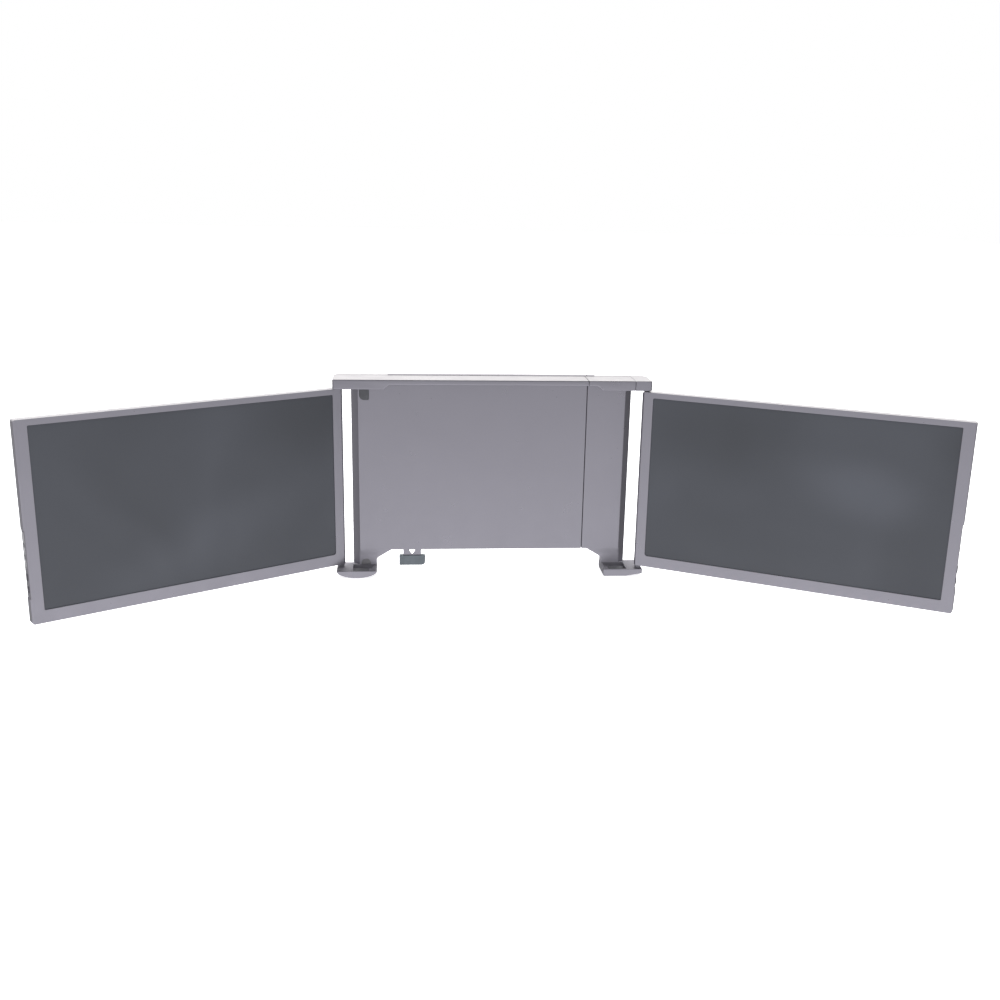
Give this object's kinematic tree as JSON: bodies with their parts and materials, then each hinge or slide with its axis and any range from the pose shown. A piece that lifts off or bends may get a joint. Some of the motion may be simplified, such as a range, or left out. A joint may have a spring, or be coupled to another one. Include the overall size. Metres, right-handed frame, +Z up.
{
  "type": "laptop screen extender",
  "caption": "Clamp that grips a laptop lid and carries a folding portable display on a vertical hinge at each side, with a sliding right half and a folding rear stand.",
  "frame": {"origin": "middle of the plate's front face, 118 mm above the surface that the shoes stand on", "axes": "+X along the clamp to the right, +Y from the user to the back, +Z up"},
  "size_m": [0.8942, 0.2076, 0.2173],
  "materials": {
    "shell": "satin metallic paint",
    "dark_plastic": "matte",
    "button": "matte",
    "display": "anti-glare, switched off",
    "light_stack": "acrylic light guide with white films",
    "rubber": "matte",
    "steel": "satin",
    "board": "solder mask"
  },
  "bodies": {
    "frame": {"front_shell": "shell", "rear_cover": "shell", "top_bar": "shell", "bar_lining": "rubber", "left_foot": "shell", "upper_guide_rail": "steel", "lower_guide_rail": "steel", "left_upper_hinge_pin": "steel", "left_lower_hinge_pin": "steel", "left_hinge_washers": "dark_plastic", "kickstand_pin": "steel", "upper_lid_pad": "rubber", "lower_lid_pad": "rubber", "left_floor_pad": "rubber", "left_foot_pad": "rubber", "rear_cover_screws": "steel", "left_foot_screws": "steel"},
    "carriage": {"carriage_shell": "shell", "carriage_cover": "shell", "carriage_bar": "shell", "bar_end_cap": "shell", "bar_tongue": "steel", "carriage_sleeve": "dark_plastic", "right_foot": "shell", "upper_slide_arm": "steel", "lower_slide_arm": "steel", "right_upper_hinge_pin": "steel", "right_lower_hinge_pin": "steel", "right_hinge_washers": "dark_plastic", "right_floor_pad": "rubber", "right_foot_pad": "rubber", "carriage_screws": "steel", "right_foot_screws": "steel"},
    "left_screen": {"left_bezel": "shell", "left_display_panel": "display", "left_backlight": "light_stack", "left_rear_shell": "shell", "left_driver_board": "board", "left_port_sockets": "steel", "left_hinge_sleeves": "steel", "left_shell_screws": "steel"},
    "right_screen": {"right_bezel": "shell", "right_display_panel": "display", "right_backlight": "light_stack", "right_rear_shell": "shell", "right_driver_board": "board", "right_port_sockets": "steel", "right_hinge_sleeves": "steel", "right_shell_screws": "steel"},
    "kickstand": {"kickstand_leg": "shell", "kickstand_shoe": "rubber"},
    "left_power": {"left_power_button": "button"},
    "left_menu": {"left_menu_button": "button"},
    "right_power": {"right_power_button": "button"},
    "right_menu": {"right_menu_button": "button"}
  },
  "joints": [
    {"name": "carriage_slide", "type": "slide", "parent": "frame", "child": "carriage", "axis": [1, 0, 0], "range_m": [0, 0.06]},
    {"name": "left_screen_fold", "type": "hinge", "parent": "frame", "child": "left_screen", "pos_m": [-0.163, -0.0068, 0], "axis": [0, 0, 1], "range_deg": [-87.7, 147.3]},
    {"name": "right_screen_fold", "type": "hinge", "parent": "carriage", "child": "right_screen", "pos_m": [0.163, -0.0192, 0], "axis": [0, 0, -1], "range_deg": [-45.1, 149.2]},
    {"name": "kickstand_fold", "type": "hinge", "parent": "frame", "child": "kickstand", "pos_m": [-0.0855, 0.0147, 0.026], "axis": [1, 0, 0], "range_deg": [0, 60]},
    {"name": "left_power_press", "type": "slide", "parent": "left_screen", "child": "left_power", "axis": [0.8415, 0.5402, 0], "range_m": [0, 0.0005], "stiffness_N_per_m": 600},
    {"name": "left_menu_press", "type": "slide", "parent": "left_screen", "child": "left_menu", "axis": [0.8415, 0.5402, 0], "range_m": [0, 0.0005], "stiffness_N_per_m": 600},
    {"name": "right_power_press", "type": "slide", "parent": "right_screen", "child": "right_power", "axis": [-0.8652, 0.5015, 0], "range_m": [0, 0.0005], "stiffness_N_per_m": 600},
    {"name": "right_menu_press", "type": "slide", "parent": "right_screen", "child": "right_menu", "axis": [-0.8652, 0.5015, 0], "range_m": [0, 0.0005], "stiffness_N_per_m": 600}
  ]
}
